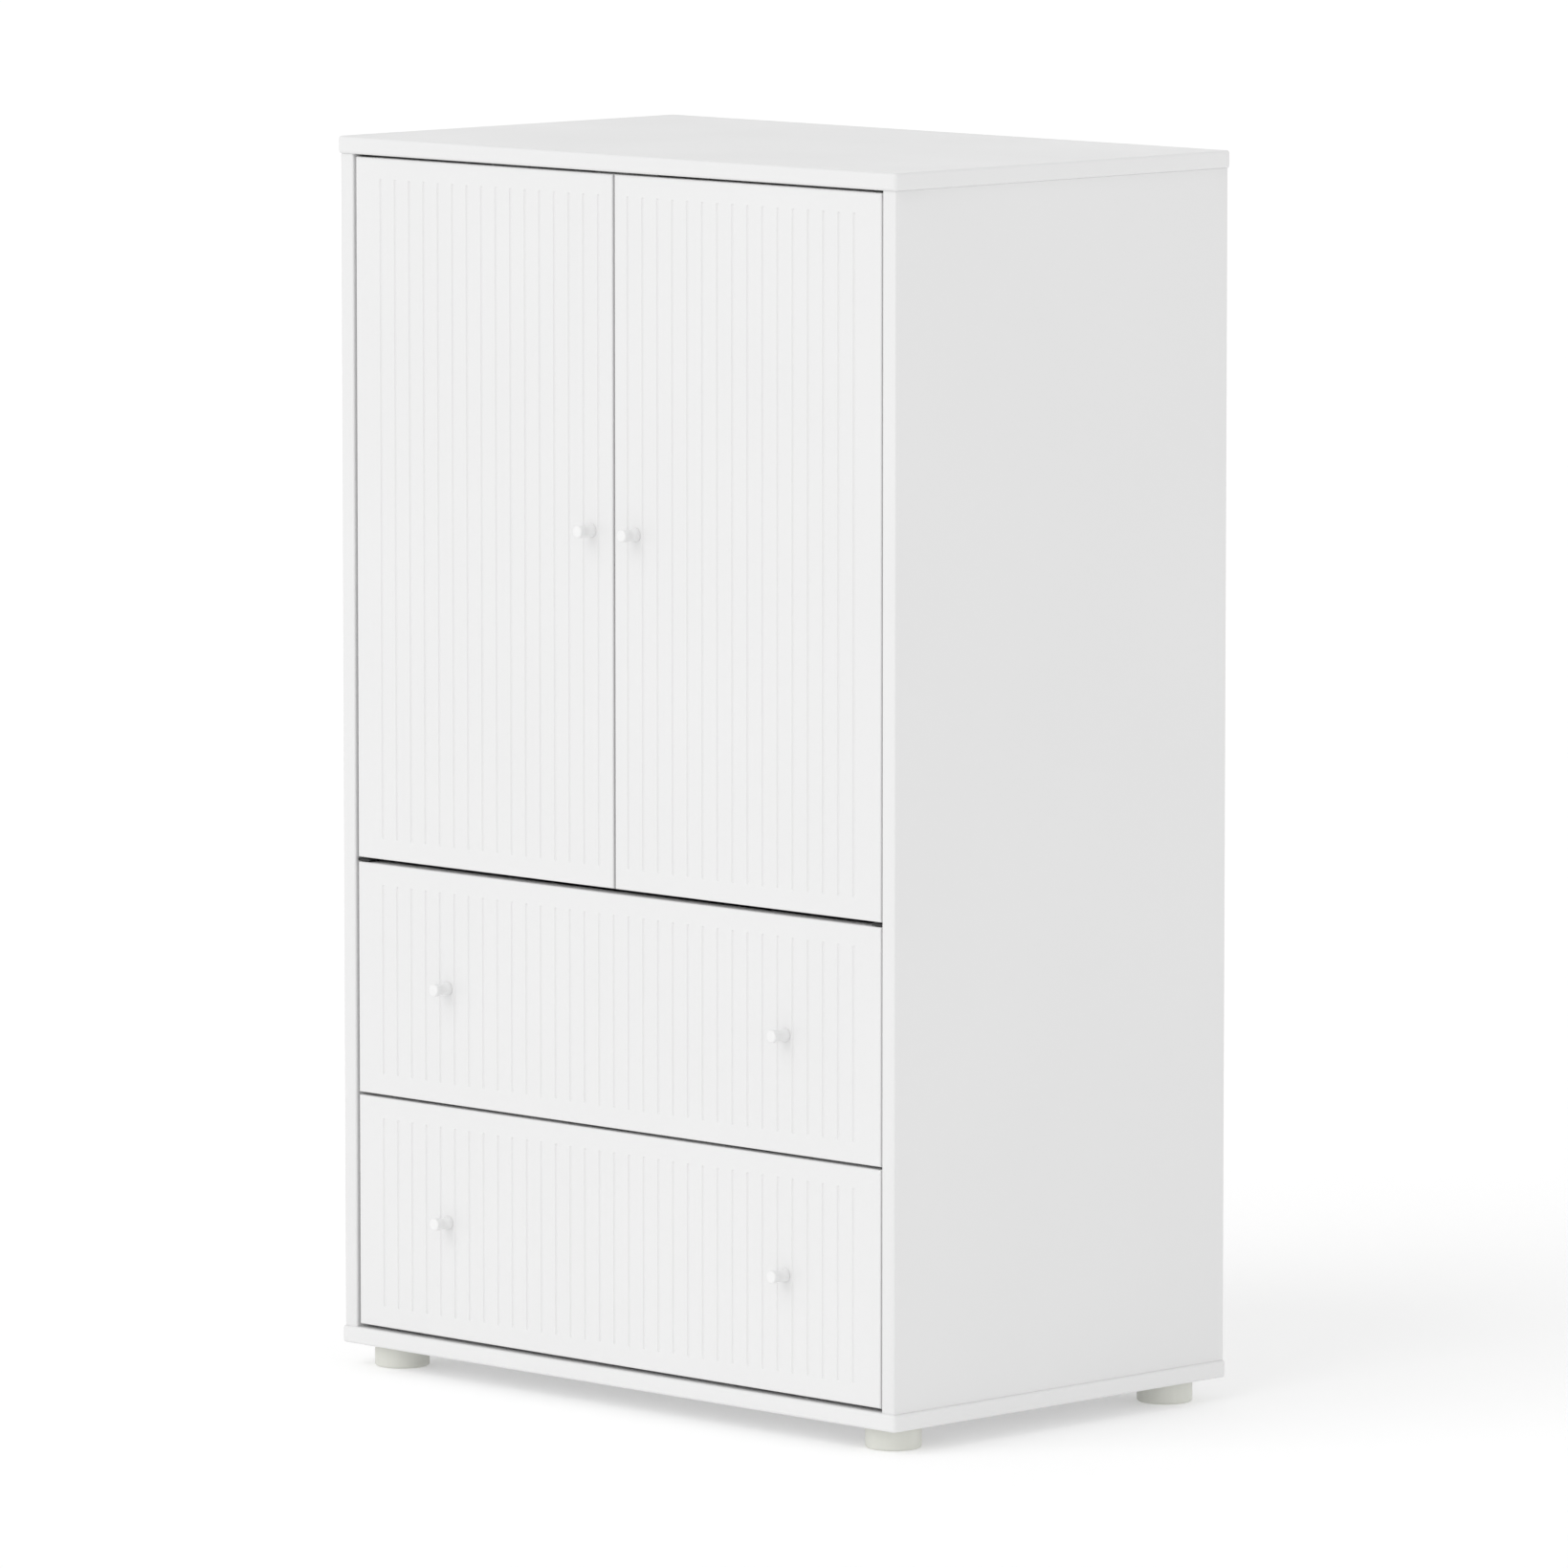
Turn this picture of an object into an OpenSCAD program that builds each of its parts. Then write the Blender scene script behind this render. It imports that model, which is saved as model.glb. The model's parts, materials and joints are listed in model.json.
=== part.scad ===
// Small wardrobe: two grooved doors over two grooved drawers, on four round feet.
// Millimetres, +Z up, the fronts face -Y, the floor is Z = 0.
// X = 0 is the middle of the width, Y = 0 the middle of the depth with the knobs.

/* [Carcass] */
// Width over the two side panels
carcass_w = 800; // [780:1:840]
// Depth of the side panels
carcass_d = 480; // [480:1:520]
// Thickness of the carcass boards and of the fronts
board_t = 18; // [17:0.5:19]
// How far the top and bottom panels stand out past the sides and front
overhang = 2.5; // [1:0.5:4]
// Rounding of the top and bottom panels' edges
panel_ease = 3; // [2:0.5:4]
// Rounding of the other boards' front edges
board_ease = 2; // [1.5:0.5:2]
// Thickness of the back panel and the drawer bottoms
thin_t = 3; // [3:0.5:4]

/* [Fronts] */
// Height of one door
door_h = 725.5; // [700:0.5:800]
// Height of one drawer front
drawer_front_h = 240.5; // [236:0.5:260]
// How far the fronts sit back from the side panels' edges
front_recess = 1.5; // [1:0.5:2]
// Gap between a front and the side panel beside it
side_gap = 3; // [3:0.5:4]
// Gap between the two doors
middle_gap = 3; // [2:0.5:4]
// Gap over the doors
top_gap = 2.5; // [2:0.5:4]
// Gap between the doors and the upper drawer
door_gap = 5; // [5:0.5:6]
// Gap between the two drawer fronts
drawer_gap = 3; // [2:0.5:4]
// Gap under the lower drawer front
bottom_gap = 3.5; // [2:0.5:5]

/* [Grooves] */
// Distance from one groove to the next
groove_pitch = 21.333; // [20:0.001:21.5]
// Number of grooves on each door, half of the spaces on a drawer
grooves_per_door = 16; // [8:1:16]
// Radius of the grooves' round bottom
groove_r = 2; // [1.5:0.1:3]
// Depth of a groove
groove_depth = 1.1; // [0.6:0.1:1.4]
// Distance from a groove's end to the front's edge
groove_end = 21; // [15:1:40]

/* [Knobs] */
// Diameter of the knob's face
knob_d = 13; // [12.5:0.5:16]
// Diameter of the knob's foot
knob_foot_d = 14; // [13:0.5:15]
// Diameter of the knob's waist
knob_waist_d = 11.5; // [11:0.5:12.5]
// How far the knob stands out
knob_l = 21; // [20:0.5:26]
// Distance between the two door knobs, in groove spaces
door_knob_spaces = 3; // [3:1:5]
// Distance between a drawer's two knobs, in groove spaces
drawer_knob_spaces = 23; // [15:2:25]

/* [Feet] */
// Diameter of a foot
foot_d = 57; // [50:1:64]
// Height of a foot
foot_h = 24; // [22:1:40]
// Distance from the carcass's sides, front and back to a foot's middle
foot_inset = 42; // [38:1:60]

/* [Drawers] */
// Thickness of the drawer sides and backs
drawer_t = 15; // [14:0.5:16]
// Height of the drawer sides
drawer_side_h = 180; // [170:1:185]
// Length of the drawer boxes
drawer_l = 420; // [410:1:425]
// Height of the drawer sides over the lower edge of their front
drawer_lift = 15; // [12:1:20]

/* [Runners] */
// Length of a runner's outer and inner rail
runner_l = 400; // [380:5:400]
// How far a drawer opens
drawer_travel = 380; // [300:5:380]

/* [Hidden] */

$fn = 64;
cut = 1;                                    // how far a cutter runs past a face

// Colours
white = [0.95, 0.95, 0.94];
foot_grey = [0.78, 0.77, 0.74];
steel = [0.72, 0.72, 0.73];
zinc = [0.62, 0.62, 0.64];
beech = [0.80, 0.64, 0.44];
plastic = [0.90, 0.90, 0.89];

// Widths, from the middle
half_w = carcass_w / 2;                     // outer face of a side panel
half_in = half_w - board_t;                 // inner face of a side panel
half_front = half_in - side_gap;            // edge of the fronts

// Depths
side_y0 = -(carcass_d - (knob_l - front_recess)) / 2;
side_y1 = side_y0 + carcass_d;              // rear edge of the side panels
face_y = side_y0 + front_recess;            // front face of the doors and drawers
rear_y = face_y + board_t;                  // rear face of the doors and drawers
thin_y1 = side_y1 - 8;                      // rear face of the back panel
thin_y0 = thin_y1 - thin_t;                 // front face of the back panel

// Heights
base_z = foot_h + board_t;                  // top of the bottom panel
lower_z0 = base_z + bottom_gap;
lower_z1 = lower_z0 + drawer_front_h;
upper_z0 = lower_z1 + drawer_gap;
upper_z1 = upper_z0 + drawer_front_h;
door_z0 = upper_z1 + door_gap;
door_z1 = door_z0 + door_h;
roof_z = door_z1 + top_gap;                 // underside of the top panel
shelf_y0 = rear_y + 4;                      // front edge of the fixed shelf, clear of the doors' swing

// Drawer boxes and runners
runner_t = 12.7;                            // thickness of a closed runner
runner_h = 45;                              // height of a runner
runner_y0 = rear_y + 2.5;                   // front end of the runners
box_x1 = half_in - runner_t;                // outer face of a drawer side
box_x0 = box_x1 - drawer_t;                 // inner face of a drawer side
box_y1 = rear_y + drawer_l;                 // rear face of a drawer back
runner_rise = 90;                           // from the drawer side's lower edge to the runner
groove_in = 5;                              // how deep a thin board sits in its groove
thin_play = 0.2;                            // play of a thin board in its groove
bottom_rise = 10;                           // from the drawer side's lower edge to its bottom

// Pivots of the doors
pivot_in = 7.5;                             // from the door's side edge and face to the axis
pivot_x = half_front - pivot_in;
pivot_y = face_y + pivot_in;
pin_r = 3;
pin_play = 0.05;
bush_r = 5;
bush_l = 12;
flange_r = 6.5;
flange_t = 1.2;
plate_t = 2;                                // thickness of the pivot plates

// Fittings of the carcass
cam_r = 7.5;
cam_h = 12;
cam_in = 34;                                // from the joint to the cam's middle
bolt_r = 3;
dowel_r = 4;
dowel_l = 30;
screw_r = 1.75;
screw_l = 14;
head_r = 3.5;
head_h = 1.9;

// Clothes rail
rail_r = 12.5;
rail_wall = 1.5;
rail_y = (rear_y + thin_y0) / 2;
rail_z = roof_z - 60;
socket_t = 3;

// Wall fixing
batten_h = 70;
batten_z = roof_z - batten_h / 2;
wall_hole_r = 3;
wall_hole_x = 300;

// Shared shapes ------------------------------------------------------------

// Points of an arc about a centre, from one angle to another
function arc(c, r, a0, a1, steps = 6) =
    [for (i = [0:steps]) c + r * [cos(a0 + (a1 - a0) * i / steps), sin(a0 + (a1 - a0) * i / steps)]];

// Outline of a rectangle: r0 rounds the two corners at low Y, r1 those at high Y
function eased(low, high, r0, r1) = concat(
    r0 > 0 ? arc([low[0] + r0, low[1] + r0], r0, 180, 270) : [low],
    r0 > 0 ? arc([high[0] - r0, low[1] + r0], r0, 270, 360) : [[high[0], low[1]]],
    r1 > 0 ? arc([high[0] - r1, high[1] - r1], r1, 0, 90) : [high],
    r1 > 0 ? arc([low[0] + r1, high[1] - r1], r1, 90, 180) : [[low[0], high[1]]]);

module slab(low, high) {
    translate(low) cube(high - low);
}

// A rod along X, Y or Z from its start
module rod_x(p, r, l) { translate(p) rotate([0, 90, 0]) cylinder(h = l, r = r); }
module rod_y(p, r, l) { translate(p) rotate([-90, 0, 0]) cylinder(h = l, r = r); }
module rod_z(p, r, l) { translate(p) cylinder(h = l, r = r); }

// Draws its children on one side, mirrored for the left side
module on_side(side) {
    if (side > 0) children();
    else mirror([1, 0, 0]) children();
}

// A panel rounded on all its edges but the rear ones
module capping_panel(z0) {
    x = half_w + overhang;
    y = side_y0 - overhang;
    intersection() {
        translate([0, 0, z0])
            linear_extrude(board_t)
            polygon(eased([-x, y], [x, side_y1], panel_ease + 1, 0));
        translate([0, side_y1, 0])
            rotate([90, 0, 0])
            linear_extrude(side_y1 - y)
            polygon(eased([-x, z0], [x, z0 + board_t], panel_ease, panel_ease));
        translate([-x, 0, 0])
            rotate([90, 0, 90])
            linear_extrude(2 * x)
            polygon(concat(
                arc([y + panel_ease, z0 + panel_ease], panel_ease, 180, 270),
                [[side_y1, z0], [side_y1, z0 + board_t]],
                arc([y + panel_ease, z0 + board_t - panel_ease], panel_ease, 90, 180)));
    }
}

// A front board with rounded front edges
module front_board(x0, x1, z0, z1) {
    intersection() {
        translate([0, 0, z0])
            linear_extrude(z1 - z0)
            polygon(eased([x0, face_y], [x1, rear_y], board_ease, 0));
        translate([x0, 0, 0])
            rotate([90, 0, 90])
            linear_extrude(x1 - x0)
            polygon(concat(
                arc([face_y + board_ease, z0 + board_ease], board_ease, 180, 270),
                [[rear_y, z0], [rear_y, z1]],
                arc([face_y + board_ease, z1 - board_ease], board_ease, 90, 180)));
    }
}

// One upright groove with round ends
module groove(x, z0, z1) {
    r = groove_r;
    y = face_y - (r - groove_depth);
    rod_z([x, y, z0 + groove_end + r], r, z1 - z0 - 2 * (groove_end + r));
    for (z = [z0 + groove_end + r, z1 - groove_end - r])
        translate([x, y, z]) sphere(r);
}

// Points of a smooth turned sweep from one radius and height to another
function sweep(from, to) =
    [for (i = [0:8]) [
        from[0] + (to[0] - from[0]) * (1 - cos(i * 22.5)) / 2,
        from[1] + (to[1] - from[1]) * i / 8]];

// A turned knob with its face towards -Y, and the hole for its screw
module knob(x, z) {
    foot = knob_foot_d / 2;
    waist = knob_waist_d / 2;
    face = knob_d / 2;
    ease = 2;
    middle = knob_l * 0.45;
    color(white)
    translate([x, face_y, z])
        rotate([90, 0, 0])
        difference() {
            rotate_extrude()
                polygon(concat(
                    [[0, 0], [foot, 0]],
                    sweep([foot, 1.5], [waist, middle]),
                    sweep([waist, middle + 0.5], [face, knob_l - ease - 2.5]),
                    arc([face - ease, knob_l - ease], ease, 0, 90),
                    [[0, knob_l]]));
            translate([0, 0, -cut]) cylinder(h = 12 + cut, r = 2.1);
        }
}

// The machine screw of a knob, from the rear of its front
module knob_screw(x, z) {
    translate([x, rear_y, z])
        rotate([90, 0, 0])
        difference() {
            union() {
                translate([0, 0, -2.4]) cylinder(h = 2.4, r = 4);
                cylinder(h = board_t + 10, r = 2);
            }
            screw_cross(-2.4);
        }
}

// The cross recess in a screw head that starts at height z
module screw_cross(z) {
    for (turn = [0, 90])
        rotate([0, 0, turn]) translate([-2, -0.4, z - cut]) cube([4, 0.8, 1.2 + cut]);
}

// A pan head screw along +Z, its head under z = 0
module screw(l = screw_l) {
    difference() {
        union() {
            translate([0, 0, -head_h]) cylinder(h = head_h, r = head_r);
            cylinder(h = l, r = screw_r);
        }
        screw_cross(-head_h);
    }
}

// The pilot hole for such a screw
module pilot(l = screw_l) {
    translate([0, 0, -cut]) cylinder(h = l + cut + 0.5, r = screw_r + 0.05);
}

// A flat head screw along +Z, its head flush at z = 0
module flat_screw(l = screw_l) {
    difference() {
        union() {
            cylinder(h = 1.7, r1 = head_r, r2 = screw_r);
            cylinder(h = l, r = screw_r);
        }
        screw_cross(0.2);
    }
}

// The sunk hole for such a screw
module sunk_pilot(l = screw_l) {
    translate([0, 0, -0.1]) cylinder(h = 1.9, r1 = head_r + 0.3, r2 = screw_r + 0.2);
    pilot(l);
}

// Cam fittings ---------------------------------------------------------------
// Each joint is drawn at its cam: the cam's axis is +Z and its bolt comes from +X.

cam_rows = [side_y0 + 60, side_y1 - 60];
dowel_rows = [side_y0 + 95, side_y1 - 95];
shelf_rows = [shelf_y0 + 50, thin_y0 - 50];

// Children at every cam place, on both sides
module at_cams() {
    for (side = [-1, 1])
        on_side(side) {
            for (y = cam_rows) {
                // Under the top panel: cams in the side panels' inner faces
                translate([half_in, y, roof_z - cam_in])
                    rotate([0, -90, 0])
                    children();
                // Over the bottom panel
                translate([half_in, y, base_z + cam_in])
                    rotate([0, -90, 0])
                    rotate([0, 0, 180])
                    children();
            }
            // Under the fixed shelf, bolts from the side panels
            for (y = shelf_rows)
                translate([half_in - cam_in, y, door_z0])
                    mirror([0, 0, 1])
                    children();
        }
}

// A cam: a drum with a pocket for the bolt's head
module cam() {
    difference() {
        translate([0, 0, -cam_h]) cylinder(h = cam_h - 0.3, r = cam_r);
        rod_x([-3.7, 0, -board_t / 2], 3.7, cam_r + 5);
        screw_cross(0);
    }
}

// A bolt from the next board into the cam
module cam_bolt() {
    union() {
        rod_x([-2, 0, -board_t / 2], 3.3, 3);
        rod_x([1, 0, -board_t / 2], 2, cam_in - 1);
        rod_x([cam_in - 1, 0, -board_t / 2], bolt_r, 11);
    }
}

// The holes of both
module cam_holes() {
    translate([0, 0, -cam_h - 0.5]) cylinder(h = cam_h + 0.5 + cut, r = cam_r + 0.2);
    rod_x([0, 0, -board_t / 2], 3.6, cam_in);
    rod_x([0, 0, -board_t / 2], bolt_r + 0.1, cam_in + 11);
}

module at_dowels() {
    for (x = [-1, 1] * (half_w - board_t / 2))
        for (y = dowel_rows)
            for (z = [roof_z, base_z])
                translate([x, y, z]) children();
    for (x = [-1, 1] * half_in) {
        for (y = shelf_rows + [40, -40])
            translate([x, y, door_z0 + board_t / 2])
                rotate([0, 90, 0])
                children();
        for (dz = [-20, 20])
            translate([x, thin_y0 - board_t / 2, batten_z + dz])
                rotate([0, 90, 0])
                children();
    }
}

module dowel() {
    translate([0, 0, -dowel_l / 3]) cylinder(h = dowel_l * 2 / 3, r = dowel_r);
}

module dowel_hole() {
    translate([0, 0, -dowel_l / 3 - 0.5]) cylinder(h = dowel_l * 2 / 3 + 1, r = dowel_r + 0.1);
}

// All the holes of the cams and dowels
module fitting_holes() {
    at_cams() cam_holes();
    at_dowels() dowel_hole();
}

// Places of the carcass screws -------------------------------------------------

runner_z = [lower_z0 + drawer_lift + runner_rise, upper_z0 + drawer_lift + runner_rise];
runner_screws = [runner_y0 + 35, runner_y0 + 195, runner_y0 + 365];
foot_x = half_w - foot_inset;
foot_ys = [side_y0 + foot_inset, side_y1 - foot_inset];
socket_screws = [-18, 18];
top_plate_screws = [24, 40];
leg_screws = [[17, -13], [27, -26]];
catch_x = 30;
catch_y = rear_y + 1.3;                     // front of the catch
catch_d = 14;
catch_h = 12;

// Pan head screws: children are drawn along +Z, into the board
module at_pan_screws() {
    for (side = [-1, 1])
        on_side(side) {
            for (z = runner_z)
                for (y = runner_screws)
                    translate([half_in - 1.2, y, z]) rotate([0, 90, 0]) children();
            for (dy = socket_screws)
                translate([half_in - socket_t, rail_y + dy, rail_z]) rotate([0, 90, 0]) children();
            translate([catch_x, catch_y + catch_d / 2, roof_z - 3]) children();
        }
}

// Flat head screws of the pivots
module at_flat_screws() {
    for (side = [-1, 1])
        on_side(side) {
            for (dy = top_plate_screws)
                translate([pivot_x, side_y0 + dy, roof_z]) children();
            for (p = leg_screws)
                translate([half_in, side_y0 + p[0], door_z0 - 4 + p[1]])
                    rotate([0, 90, 0])
                    children();
        }
}

// Long screws up through the feet
foot_screw_l = 24;
module at_foot_screws() {
    for (x = [-1, 1] * foot_x)
        for (y = foot_ys)
            translate([x, y, foot_h - 12]) children();
}

module screw_holes() {
    at_pan_screws() pilot();
    at_flat_screws() sunk_pilot();
    at_foot_screws() pilot(foot_screw_l);
}

// Carcass ----------------------------------------------------------------------

// The recess for a top pivot's plate, in the top panel
module top_plate(play) {
    slab([pivot_x - 7 - play, side_y0 + 3 - play, roof_z - (play > 0 ? cut : 0)],
         [pivot_x + 7 + play, side_y0 + 47 + play, roof_z + plate_t + play / 2]);
}

// The upright leg of a bottom pivot, let into the side panel
module leg_plate(play) {
    slab([half_in - (play > 0 ? cut : 0), side_y0 + 12 - play, door_z0 - 36 - play],
         [half_in + plate_t + play / 2, side_y0 + 34 + play, door_z0 - plate_t + play]);
}

module side_panel(side) {
    color(white)
    difference() {
        translate([0, 0, base_z])
            linear_extrude(roof_z - base_z)
            polygon(eased([side > 0 ? half_in : -half_w, side_y0],
                          [side > 0 ? half_w : -half_in, side_y1], board_ease, 0));
        on_side(side) {
            slab([half_in - cut, thin_y0 - thin_play, base_z - cut],
                 [half_in + groove_in + 1, thin_y1 + thin_play, roof_z + cut]);
            leg_plate(0.1);
        }
        fitting_holes();
        screw_holes();
    }
}

module left_side_panel() { side_panel(-1); }
module right_side_panel() { side_panel(1); }

module top_panel() {
    color(white)
    difference() {
        capping_panel(roof_z);
        slab([-half_in - groove_in - 1, thin_y0 - thin_play, roof_z - cut],
             [half_in + groove_in + 1, thin_y1 + thin_play, roof_z + groove_in + 1]);
        for (side = [-1, 1]) on_side(side) top_plate(0.1);
        fitting_holes();
        screw_holes();
    }
}

module bottom_panel() {
    color(white)
    difference() {
        capping_panel(foot_h);
        slab([-half_in - groove_in - 1, thin_y0 - thin_play, base_z - groove_in - 1],
             [half_in + groove_in + 1, thin_y1 + thin_play, base_z + cut]);
        fitting_holes();
        screw_holes();
    }
}

module fixed_shelf() {
    color(white)
    difference() {
        slab([-half_in, shelf_y0, door_z0], [half_in, thin_y0 - 0.5, door_z0 + board_t]);
        fitting_holes();
    }
}

module back_panel() {
    color(white)
    difference() {
        slab([-half_in - groove_in, thin_y0, base_z - groove_in],
             [half_in + groove_in, thin_y1, roof_z + groove_in]);
        for (x = [-1, 1] * wall_hole_x)
            rod_y([x, thin_y0 - cut, batten_z], wall_hole_r, thin_t + 2 * cut);
    }
}

module wall_fixing_batten() {
    color(white)
    difference() {
        slab([-half_in, thin_y0 - board_t, roof_z - batten_h], [half_in, thin_y0, roof_z]);
        for (x = [-1, 1] * wall_hole_x)
            rod_y([x, thin_y0 - board_t - cut, batten_z], wall_hole_r, board_t + 2 * cut);
        at_dowels() dowel_hole();
    }
}

module clothes_rail() {
    l = 2 * (half_in - socket_t - 0.3);
    color(steel)
    difference() {
        rod_x([-l / 2, rail_y, rail_z], rail_r, l);
        rod_x([-l / 2 - cut, rail_y, rail_z], rail_r - rail_wall, l + 2 * cut);
    }
}

// A cup for the end of the clothes rail, on a screwed plate
module rail_sockets() {
    color(plastic)
    for (side = [-1, 1])
        on_side(side)
        difference() {
            union() {
                rod_x([half_in - socket_t, rail_y, rail_z], 25, socket_t);
                rod_x([half_in - 14, rail_y, rail_z], rail_r + 2.2, 14);
            }
            rod_x([half_in - 15, rail_y, rail_z], rail_r + 0.15, 15 - socket_t);
            for (dy = socket_screws)
                rod_x([half_in - 15, rail_y + dy, rail_z], screw_r + 0.1, 16);
            for (dy = socket_screws)
                rod_x([half_in - 15, rail_y + dy, rail_z], head_r + 0.2, 15 - socket_t);
        }
}

module foot(x, y) {
    r = foot_d / 2;
    ease = 2.5;
    color(foot_grey)
    translate([x, y, 0])
        difference() {
            rotate_extrude()
                polygon(concat(
                    [[0, 0]],
                    arc([r - ease, ease], ease, 270, 360),
                    arc([r - 0.8, foot_h - 0.8], 0.8, 0, 90, 3),
                    [[0, foot_h]]));
            translate([0, 0, -cut]) cylinder(h = foot_h - 12 + cut, r = 6);
            cylinder(h = foot_h + cut, r = screw_r + 0.15);
        }
}

module front_left_foot() { foot(-foot_x, foot_ys[0]); }
module front_right_foot() { foot(foot_x, foot_ys[0]); }
module rear_left_foot() { foot(-foot_x, foot_ys[1]); }
module rear_right_foot() { foot(foot_x, foot_ys[1]); }

// Double magnetic catch under the top panel
module magnetic_catch() {
    color(plastic)
    difference() {
        slab([-45, catch_y, roof_z - catch_h], [45, catch_y + catch_d, roof_z]);
        for (x = [-1, 1] * catch_x) {
            rod_z([x, catch_y + catch_d / 2, roof_z - catch_h - cut], head_r + 0.3, catch_h - 3 + cut);
            rod_z([x, catch_y + catch_d / 2, roof_z - 4], screw_r + 0.15, 5);
        }
        // Slots on either side of each magnet
        for (x = [-1, 1] * catch_x)
            for (dz = [-9.5, -3.5])
                slab([x - 12, catch_y - cut, roof_z + dz], [x + 12, catch_y + 2, roof_z + dz + 1]);
    }
}

// A plate with a pin that points down into the door
module top_pivot(side) {
    color(steel)
    on_side(side)
    difference() {
        union() {
            top_plate(0);
            rod_z([pivot_x, pivot_y, door_z1 - bush_l + 2], pin_r, top_gap + bush_l - 2 + 1);
        }
        for (dy = top_plate_screws)
            translate([pivot_x, side_y0 + dy, roof_z]) sunk_pilot();
    }
}

module left_top_pivot() { top_pivot(-1); }
module right_top_pivot() { top_pivot(1); }

// An angle on the side panel, with a pin that points up into the door
module bottom_pivot(side) {
    color(steel)
    on_side(side)
    difference() {
        union() {
            leg_plate(0);
            slab([pivot_x - 7, side_y0 + 4, door_z0 - 2 * plate_t],
                 [half_in - 0.2, side_y0 + 24, door_z0 - plate_t]);
            slab([half_in - 1, side_y0 + 12, door_z0 - 2 * plate_t],
                 [half_in + plate_t, side_y0 + 24, door_z0 - plate_t]);
            rod_z([pivot_x, pivot_y, door_z0 - plate_t - 1], pin_r, plate_t + 1 + bush_l - 2);
        }
        for (p = leg_screws)
            translate([half_in, side_y0 + p[0], door_z0 - 4 + p[1]])
                rotate([0, 90, 0])
                sunk_pilot();
    }
}

module left_bottom_pivot() { bottom_pivot(-1); }
module right_bottom_pivot() { bottom_pivot(1); }

module carcass_screws() {
    color(zinc) {
        at_pan_screws() screw();
        at_flat_screws() flat_screw();
        at_foot_screws() screw(foot_screw_l);
    }
}

module cam_locks() {
    color(zinc) at_cams() cam();
}

module cam_bolts() {
    color(steel) at_cams() cam_bolt();
}

module dowels() {
    color(beech) at_dowels() dowel();
}

// Drawer runners ----------------------------------------------------------------
// u runs from the side panel to the drawer, v up from the runner's middle.
// A channel is a web with two flanges; every part is drawn for the right side.

// A channel along Y: web from u0 to u1, flanges as far as u2, half height v1
module channel(z, y0, l, u0, u1, u2, v1, t = 1.2) {
    x0 = half_in - u1;
    slab([x0, y0, z - v1], [half_in - u0, y0 + l, z + v1]);
    for (v = [-v1, v1 - t])
        slab([half_in - max(u1, u2), y0, z + v], [half_in - min(u0, u2), y0 + l, z + v + t]);
}

module outer_rail(side, z) {
    color(zinc)
    on_side(side)
    difference() {
        channel(z, runner_y0, runner_l, 0, 1.2, 10, runner_h / 2);
        for (y = runner_screws)
            rod_x([half_in - 2, y, z], screw_r + 0.15, 3);
    }
}

module inner_rail(side, z) {
    color(zinc)
    on_side(side)
    difference() {
        channel(z, runner_y0, runner_l, runner_t - 1.2, runner_t, 7.3, 14.1);
        for (y = runner_screws)
            rod_x([half_in - runner_t - cut, y, z], screw_r + 0.15, 3);
    }
}

module upper_left_outer_rail() { outer_rail(-1, runner_z[1]); }
module upper_right_outer_rail() { outer_rail(1, runner_z[1]); }
module lower_left_outer_rail() { outer_rail(-1, runner_z[0]); }
module lower_right_outer_rail() { outer_rail(1, runner_z[0]); }
module upper_left_inner_rail() { inner_rail(-1, runner_z[1]); }
module upper_right_inner_rail() { inner_rail(1, runner_z[1]); }
module lower_left_inner_rail() { inner_rail(-1, runner_z[0]); }
module lower_right_inner_rail() { inner_rail(1, runner_z[0]); }

module middle_rails(z) {
    color(zinc)
    for (side = [-1, 1])
        on_side(side)
        channel(z, runner_y0 + 4, runner_l - 8, 4.6, 5.8, 10.5, 18.3);
}

// A bent strip with balls along both its edges
module ball_cage(z, y0, u0, u2, v, balls) {
    channel(z, y0, balls * 30, u0, u0 + 0.6, u2, v + 0.3, 0.6);
    for (i = [0.5:balls - 0.5])
        for (s = [-1, 1])
            translate([half_in - u2 + 2, y0 + i * 30, z + s * v]) sphere(1.2, $fn = 24);
}

module ball_cages(z) {
    color(steel)
    for (side = [-1, 1])
        on_side(side) {
            ball_cage(z, runner_y0 + drawer_travel / 2 + 14, 3.5, 9.3, 19.8, 6);
            ball_cage(z, runner_y0 + 14, 6.4, 11, 15.6, 6);
        }
}

module upper_middle_rails() { middle_rails(runner_z[1]); }
module lower_middle_rails() { middle_rails(runner_z[0]); }
module upper_ball_cages() { ball_cages(runner_z[1]); }
module lower_ball_cages() { ball_cages(runner_z[0]); }

// Doors ---------------------------------------------------------------------------

door_knob_x = door_knob_spaces * groove_pitch / 2;
door_knob_z = (door_z0 + door_z1) / 2;
strike_x = catch_x;
strike_t = 0.8;

module door_panel(side) {
    color(white)
    difference() {
        front_board(side > 0 ? middle_gap / 2 : -half_front,
                    side > 0 ? half_front : -middle_gap / 2, door_z0, door_z1);
        for (i = [1:grooves_per_door])
            groove(side * i * groove_pitch, door_z0, door_z1);
        rod_y([side * door_knob_x, face_y - cut, door_knob_z], 2.2, board_t + 2 * cut);
        for (z = [door_z0 - cut, door_z1 - bush_l - 0.3])
            rod_z([side * pivot_x, pivot_y, z], bush_r + 0.05, bush_l + 0.3 + cut);
        rod_y([side * strike_x, rear_y - 8.5, roof_z - catch_h / 2], 2.6, 9);
    }
}

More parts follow.
